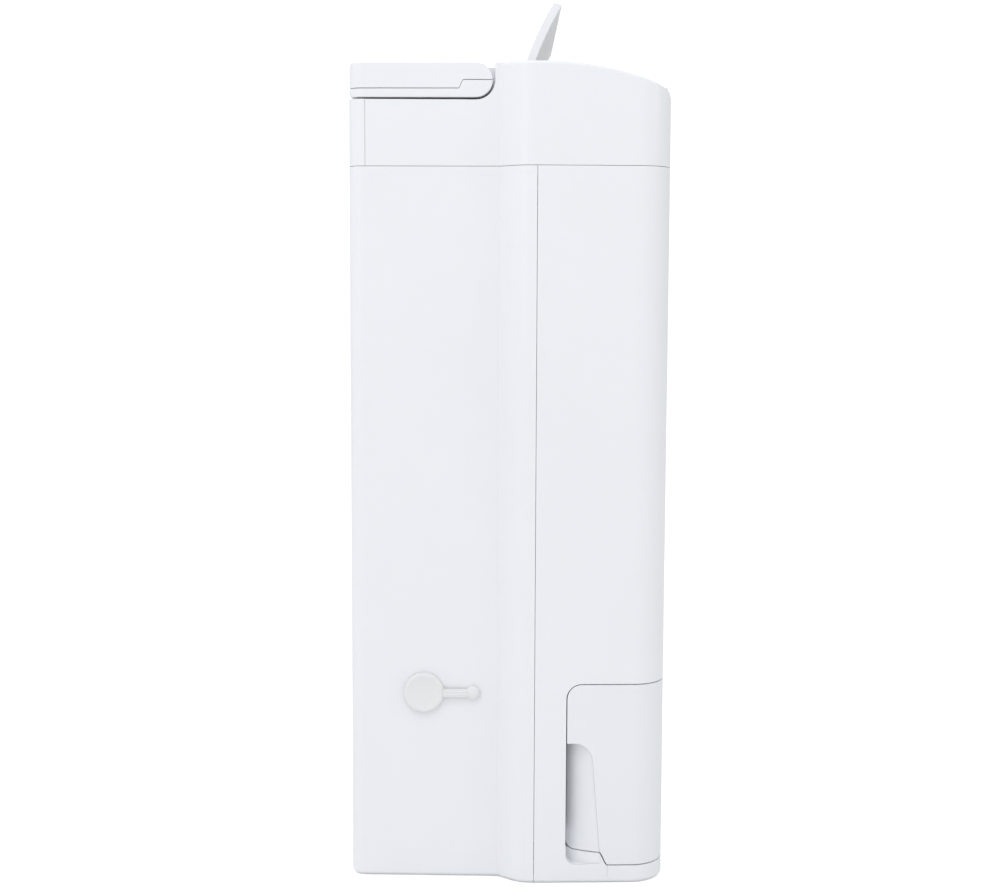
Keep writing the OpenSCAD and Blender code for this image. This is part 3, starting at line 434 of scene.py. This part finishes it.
def net(name, thread=(0.055, 0.06, 0.07), pitch=0.9 * MM):
    """A woven net: waves along X and Z make the threads, and alpha opens the gaps."""
    material, tree, shader = blank_material(name)
    place = tree.nodes.new("ShaderNodeTexCoord").outputs["Object"]
    split = tree.nodes.new("ShaderNodeSeparateXYZ")
    tree.links.new(place, split.inputs[0])
    turns = 2 * math.pi / pitch
    ridges = [math_node(tree, "SINE", math_node(tree, "MULTIPLY", split.outputs[axis], turns))
              for axis in "XZ"]
    weave = math_node(tree, "MAXIMUM", ridges[0], ridges[1])
    solid = math_node(tree, "MULTIPLY", math_node(tree, "SUBTRACT", weave, 0.35), 6.0, clamp=True)
    stain = noise_node(tree, 40.0, 3.0, 0.6, place)
    faded = tuple(c * 2.2 for c in thread)
    tree.links.new(mix_colours(tree, stain, thread, faded), shader.inputs["Base Color"])
    gloss = math_node(tree, "ADD", math_node(tree, "MULTIPLY", stain, 0.2), 0.5)
    tree.links.new(gloss, shader.inputs["Roughness"])
    tree.links.new(solid, shader.inputs["Alpha"])
    bump(tree, shader, weave, 0.5, 0.2 * MM)
    return material


finishes["desiccant"] = honeycomb("desiccant")
finishes["mesh"] = net("mesh")
print("finishes", sorted(finishes))

# %% [markdown]
# ## The two body shells
# The cabinet is two injection mouldings that meet on a vertical seam. The rear shell is narrower and widens
# in a step that starts at a crease and eases out, and the front shell carries the tank bay. Their foot
# edges have a generous radius so that they don't scrape the floor, while the seam edges are crisp, so the
# foot is rounded first and a small bevel takes every other edge.
#
# The running gaps of the CAD are wider than a moulded joint looks, so each seam face is drawn a little
# towards its neighbour.

# %% Body shells
feet_low, feet_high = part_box("rubber_feet")
FOOT_PAD_RADIUS = 9 * MM
FOOT_RECESS_REACH = 12 * MM
FOOT_EDGE_REACH = 0.3 * MM
FOOT_ROUND = 2.4 * MM
foot_x = feet_high[X] - FOOT_PAD_RADIUS
foot_ys = (feet_low[Y] + FOOT_PAD_RADIUS, feet_high[Y] - FOOT_PAD_RADIUS)


def near_rubber_foot(vertex):
    return any(math.hypot(abs(vertex.co.x) - foot_x, vertex.co.y - foot_y) < FOOT_RECESS_REACH
               for foot_y in foot_ys)


def outside_foot(e):
    """Edges of the shell's foot that lie on the outside, not round the rubber feet."""
    return all(abs(v.co.z - SHELL_FOOT) < FOOT_EDGE_REACH and not near_rubber_foot(v) for v in e.verts)


SEAM_DRAW = 0.2 * MM
SEAM_EDGE = 0.22 * MM
rear_seam = rear_low[Y]
front_seam = rear_seam - (LID_FOOT - LID_SEAM)
foot_rounds = [(outside_foot, FOOT_ROUND, 4)]
moulded("rear_shell", finishes["white_shell"], SEAM_EDGE, rounds=foot_rounds,
        fits=[(Y, rear_seam, -SEAM_DRAW), (Z, LID_SEAM, SEAM_DRAW)])
moulded("front_shell", finishes["white_shell"], SEAM_EDGE, rounds=foot_rounds,
        fits=[(Y, front_seam, SEAM_DRAW), (Z, LID_SEAM, SEAM_DRAW)])

# %% [markdown]
# ## The top housing
# The lid is one moulding with a flat rear deck and a long arc that falls to the front. Its front top edge gets
# the largest radius in this file, and the sides a smaller one. The seam edge at its foot stays crisp.

# %% Top housing
BROW_DEPTH, BROW_REACH, BROW_ROUND = 16 * MM, 3 * MM, 4.2 * MM
RIM_INNER, RIM_REAR, RIM_ROUND = 113 * MM, 8 * MM, 1.8 * MM
SHELF_SIDE, SHELF_STEP, ON_EDGE = 112 * MM, 0.5 * MM, 0.1 * MM


def front_brow(e):
    """The edge between the long arc and the front face."""
    return all(v.co.y < FRONT_Y + BROW_REACH and v.co.z > LID_TOP - BROW_DEPTH for v in e.verts)


def top_rim(e):
    """The outside edge of the top along both sides, up to the brow."""
    along_side = all(v.co.z > LID_TOP - BROW_DEPTH and abs(v.co.x) > RIM_INNER and v.co.y < RIM_REAR
                     for v in e.verts)
    return along_side and not front_brow(e)


def beside_shelf(e):
    """The low step between the rear shelf and the rest for each arm of the handle, too low for a bevel."""
    return all(abs(abs(v.co.x) - SHELF_SIDE) < ON_EDGE and abs(v.co.z - SHELF) < SHELF_STEP for v in e.verts)


SOFT, SMALL, DEBURRED = 0.4 * MM, 0.18 * MM, 0.1 * MM
moulded("top_housing", finishes["white_shell"], SEAM_EDGE, fits=[(Z, LID_FOOT, -SEAM_DRAW)],
        rounds=[(front_brow, BROW_ROUND, 7), (top_rim, RIM_ROUND, 5)], crisp=beside_shelf)
moulded("rear_trim", finishes["white_trim"], DEBURRED,
        fits=[(Y, trim_low[Y], -SEAM_DRAW), (Z, LID_FOOT, -SEAM_DRAW)])

# %% [markdown]
# ## Everything that only needs softer edges
# Most of the other pieces have the right shape already. They go through the same recipe, with a bevel in
# proportion: 0.4 mm on palm-sized mouldings, 0.18 mm on smaller parts, and 0.1 mm on pins, boards, gears, fan
# blades and other thin or turned parts. The grille and the net behind it have bars too thin for any bevel.

# %% The other mouldings
edge_of_node = {
    "handle_cover": SOFT, "handle_base": SOFT, "louvre_flap": SOFT, "outlet_duct": SMALL,
    "outlet_fins": SMALL, "filter_cover": 0, "filter_frame": SMALL, "control_panel": SMALL,
    "water_tank": SOFT, "tank_lid": SMALL, "tank_window": SMALL, "tank_handle": SOFT, "bay_lining": SMALL,
    "chassis": SMALL, "inner_supports": SMALL, "power_button": SMALL, "mode_button": SMALL,
    "timer_button": SMALL, "louvre_button": SMALL, "drain_spout": SMALL, "drain_pan": SMALL,
    "condenser": SMALL, "wheel_frame": SMALL, "ring_gear": DEBURRED, "wheel_hub": DEBURRED,
    "drive_pinion": DEBURRED, "regen_scroll": SMALL, "regen_impeller": DEBURRED, "fan_scroll": SMALL,
    "fan_wheel": DEBURRED, "board_cover": SMALL, "float_arm": SMALL, "float_block": SMALL,
    "level_sensor": SMALL, "tank_switch": SMALL, "cord_grommet": SMALL, "main_board": DEBURRED,
    "control_board": DEBURRED, "screws": DEBURRED, "handle_pins": DEBURRED, "louvre_pins": DEBURRED,
    "float_magnet": DEBURRED, "wheel_axle": DEBURRED, "gear_motor": SMALL, "heater_case": DEBURRED,
    "heater_element": DEBURRED, "regen_motor": DEBURRED, "fan_motor": SMALL, "motor_shaft": DEBURRED,
    "switch_plunger": SMALL, "indicator_lenses": SMALL, "rubber_feet": SMALL, "desiccant_wheel": DEBURRED,
    "filter_mesh": 0,
}
for node, edge in edge_of_node.items():
    moulded(node, finishes[slot_of_node[node]], edge)
print("softened", len(edge_of_node), "more nodes")

# %% [markdown]
# ## The rubber drain plug and its strap
# The plug is one soft moulding: a dished cap with a rolled rim, two sealing rings on its shank, a ribbed
# strap, and an anchor button that is pushed through the wall. A lathe profile gives the cap and the button,
# because every ring is round. The strap is a ribbed section swept along its length from the anchor to the
# plug's rim. It rides on no body and stays where it is made.

# %% Lathe helper
def lathe(centre, rings, steps=64):
    """Spins (radius, depth) pairs round an axis along X; depth grows inward from the centre's x."""
    mesh = bmesh.new()
    loops = []
    for radius, depth in rings:
        x = centre[X] + depth
        if radius == 0:
            loops.append([mesh.verts.new((x, centre[Y], centre[Z]))])
            continue
        turns = [2 * math.pi * i / steps for i in range(steps)]
        loops.append([mesh.verts.new((x, centre[Y] + radius * math.cos(a), centre[Z] + radius * math.sin(a)))
                      for a in turns])
    for first, second in zip(loops, loops[1:]):
        for i in range(steps):
            corners = [first[i % len(first)], first[(i + 1) % len(first)],
                       second[(i + 1) % len(second)], second[i % len(second)]]
            mesh.faces.new(list(dict.fromkeys(corners)))
    bmesh.ops.recalc_face_normals(mesh, faces=mesh.faces)
    return mesh


def in_millimetres(*pairs):
    return [(radius * MM, depth * MM) for radius, depth in pairs]


# %% Plug, anchor and strap
rubber = finishes["white_rubber"]
plug_centre = (plug_low[X], (plug_low[Y] + plug_high[Y]) / 2, (plug_low[Z] + plug_high[Z]) / 2)
plug_radius = (plug_high[Y] - plug_low[Y]) / 2
# The cap's dish and its rolled rim
cap_rings = in_millimetres(
    (0, 0.75), (3.5, 0.72), (7.0, 0.6), (8.8, 0.35), (9.7, 0.08), (10.3, 0.0), (11.0, 0.1), (11.55, 0.4),
    (11.9, 0.9), (12.0, 1.5), (11.95, 2.4), (11.7, 2.8), (11.2, 2.9))
# The shank with two sealing rings, and its hollow end
shank_rings = in_millimetres(
    (8.7, 3.0), (8.7, 4.3), (8.95, 4.7), (8.7, 5.1), (8.7, 6.1), (8.95, 6.5), (8.7, 6.9), (8.6, 8.3),
    (8.0, 9.1), (6.5, 9.2), (6.3, 5.0), (0, 5.0))
finish_mesh(lathe(plug_centre, cap_rings + shank_rings), "drain_plug_skin", "plug", rubber,
            ("drain_plug",))
# The anchor: a low button, a neck through the wall and a barb behind it
ANCHOR_RADIUS = 4.3 * MM
ANCHOR_STEPS = 40
strap_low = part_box("plug_strap")[0]
anchor_y = strap_low[Y] + ANCHOR_RADIUS
anchor_rings = in_millimetres(
    (0, 0.0), (1.8, 0.08), (3.0, 0.35), (3.8, 0.85), (4.2, 1.5), (4.3, 2.2), (4.25, 3.0), (1.5, 3.1),
    (1.5, 6.0), (2.6, 6.1), (2.3, 7.0), (0, 7.6))
anchor_mesh = lathe((strap_low[X], anchor_y, plug_centre[Z]), anchor_rings, ANCHOR_STEPS)
finish_mesh(anchor_mesh, "plug_anchor", "case", rubber, ("plug_strap",))

# %% Strap
SQUARENESS = 0.45
STRAP_DIP = 0.25 * MM


def ribbed_section(width, thickness, ribs=3, rib=0.35 * MM, steps=48):
    """Cross-section of the strap as (z, x) points: a flat rounded bar with ribs along its outer face."""
    points = []
    for i in range(steps):
        angle = 2 * math.pi * i / steps
        z = width / 2 * math.copysign(abs(math.cos(angle)) ** SQUARENESS, math.cos(angle))
        x = -thickness / 2 * math.copysign(abs(math.sin(angle)) ** SQUARENESS, math.sin(angle))
        if x < 0:
            x += rib * (1 - math.cos(2 * math.pi * ribs * (z / width + 0.5))) / 2 - rib
        points.append((z, x))
    return points


def strap_mesh(y0, y1, x_middle, z_middle, width, thickness, rings=24):
    """The ribbed section swept along Y, dipping a little towards the wall in the middle."""
    mesh = bmesh.new()
    section = ribbed_section(width, thickness)
    loops = []
    for k in range(rings + 1):
        y = y0 + (y1 - y0) * k / rings
        dip = STRAP_DIP * math.sin(math.pi * k / rings)
        loops.append([mesh.verts.new((x_middle + x + dip, y, z_middle + z)) for z, x in section])
    for first, second in zip(loops, loops[1:]):
        for i in range(len(section)):
            j = (i + 1) % len(section)
            mesh.faces.new([first[i], first[j], second[j], second[i]])
    mesh.faces.new(loops[0])
    mesh.faces.new(loops[-1])
    bmesh.ops.recalc_face_normals(mesh, faces=mesh.faces)
    return mesh


STRAP_WIDTH, STRAP_THICKNESS = 4.8 * MM, 1.5 * MM
IN_ANCHOR, IN_PLUG, STRAP_DEPTH = 3.4 * MM, 0.5 * MM, 1.45 * MM
strap_start = anchor_y + IN_ANCHOR
strap_end = plug_centre[Y] - plug_radius + IN_PLUG
strap_x = strap_low[X] + STRAP_DEPTH
swept = strap_mesh(strap_start, strap_end, strap_x, plug_centre[Z], STRAP_WIDTH, STRAP_THICKNESS)
strap = finish_mesh(swept, "plug_strap_skin", None, rubber, ("plug_strap",))
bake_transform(strap)
print("strap runs", round(strap_end - strap_start, 4), "m, plug radius", round(plug_radius, 4))

# %% [markdown]
# ## Studio
# A product of white plastic is lit from large soft sources, so that the edges separate from the background by
# tone and not by shadow. A pale floor carries a faint contact shadow. Most of the light is the room's own. A
# wide panel overhead lifts the top, a narrow one draws the front corner and a weak one the rear.

# %% Floor and light
FLOOR_HALF = 6.0
FLOOR_DARK, FLOOR_LIGHT, FLOOR_GLOW = (0.89, 0.89, 0.89), (0.91, 0.91, 0.91), 0.36
ROOM_LEVEL, ROOM_LIFT, ROOM_REAR = 0.74, 0.20, 0.10
ROOM_COLOUR, BACKDROP_COLOUR, BACKDROP_LEVEL = (0.985, 0.992, 1.0), (1.0, 1.0, 1.0), 1.05
PANEL_TARGET = Vector((0.0, 0.0, 0.25))


def soft_panel(name, place, size, power):
    data = bpy.data.lights.new(name, "AREA")
    data.shape = "RECTANGLE"
    data.size, data.size_y = size
    data.energy = power
    lamp = bpy.data.objects.new(name, data)
    COLLECTION.objects.link(lamp)
    lamp.location = place
    lamp.rotation_euler = (PANEL_TARGET - lamp.location).to_track_quat("-Z", "Y").to_euler()


def pale_floor():
    mesh = bmesh.new()
    bmesh.ops.create_grid(mesh, x_segments=2, y_segments=2, size=FLOOR_HALF)
    data = bpy.data.meshes.new("floor")
    mesh.to_mesh(data)
    mesh.free()
    floor = bpy.data.objects.new("floor", data)
    COLLECTION.objects.link(floor)
    material, tree, shader = blank_material("floor_paint")
    place = tree.nodes.new("ShaderNodeTexCoord").outputs["Object"]
    drift = noise_node(tree, 3.0, 3.0, 0.5, place)
    tree.links.new(mix_colours(tree, drift, FLOOR_DARK, FLOOR_LIGHT), shader.inputs["Base Color"])
    shader.inputs["Roughness"].default_value = 0.9
    # The floor looks brighter than the light it throws back, as under a studio's white sweep.
    shader.inputs["Emission Color"].default_value = (1.0, 1.0, 1.0, 1.0)
    seen = tree.nodes.new("ShaderNodeLightPath").outputs["Is Camera Ray"]
    tree.links.new(math_node(tree, "MULTIPLY", seen, FLOOR_GLOW), shader.inputs["Emission Strength"])
    data.materials.append(material)


pale_floor()
world = bpy.data.worlds.new("studio_air")
bpy.context.scene.world = world
world.use_nodes = True
air_tree = world.node_tree
air = air_tree.nodes["Background"]
seen = air_tree.nodes.new("ShaderNodeLightPath").outputs["Is Camera Ray"]
direction = air_tree.nodes.new("ShaderNodeSeparateXYZ")
air_tree.links.new(air_tree.nodes.new("ShaderNodeTexCoord").outputs["Generated"], direction.inputs[0])
# The room is a little brighter overhead and behind the machine than in front of it.
lift = math_node(air_tree, "MULTIPLY", direction.outputs["Z"], ROOM_LIFT)
rear = math_node(air_tree, "MULTIPLY", direction.outputs["Y"], ROOM_REAR)
room = math_node(air_tree, "ADD", math_node(air_tree, "ADD", lift, rear), ROOM_LEVEL)
air_tree.links.new(mix_colours(air_tree, seen, ROOM_COLOUR, BACKDROP_COLOUR), air.inputs["Color"])
unseen_room = math_node(air_tree, "MULTIPLY", room, math_node(air_tree, "SUBTRACT", 1.0, seen))
backdrop = math_node(air_tree, "MULTIPLY", seen, BACKDROP_LEVEL)
air_tree.links.new(math_node(air_tree, "ADD", unseen_room, backdrop), air.inputs["Strength"])

soft_panel("overhead_panel", (-0.9, 0.35, 1.45), (1.1, 0.9), 4.8)
soft_panel("front_panel", (-0.6, -1.3, 1.0), (0.2, 0.9), 1.2)
soft_panel("side_panel", (-1.7, 1.0, 0.9), (0.7, 1.2), 1.4)

# %% [markdown]
# ## Camera
# The camera looks along +X at the side with the drain plug, from about three quarters of the machine's
# height, and tilts down a little.

# %% Camera
CAMERA_PLACE = (-1.068, 0.0049, 0.3514)
CAMERA_TILT, CAMERA_LEAN = math.radians(5.49), math.radians(0.23)
SENSOR_MM, LENS_MM = 36.0, 57.73
camera_data = bpy.data.cameras.new("studio_camera")
camera_data.sensor_width = SENSOR_MM
camera_data.lens = LENS_MM
camera = bpy.data.objects.new("studio_camera", camera_data)
COLLECTION.objects.link(camera)
camera.location = CAMERA_PLACE
level_look = Euler((math.radians(90) - CAMERA_TILT, 0.0, math.radians(-90))).to_matrix()
camera.rotation_euler = (level_look @ Matrix.Rotation(CAMERA_LEAN, 3, "Z")).to_euler()
bpy.context.scene.camera = camera
bpy.context.scene.view_settings.view_transform = "Standard"
print("camera at", tuple(round(v, 3) for v in camera.location))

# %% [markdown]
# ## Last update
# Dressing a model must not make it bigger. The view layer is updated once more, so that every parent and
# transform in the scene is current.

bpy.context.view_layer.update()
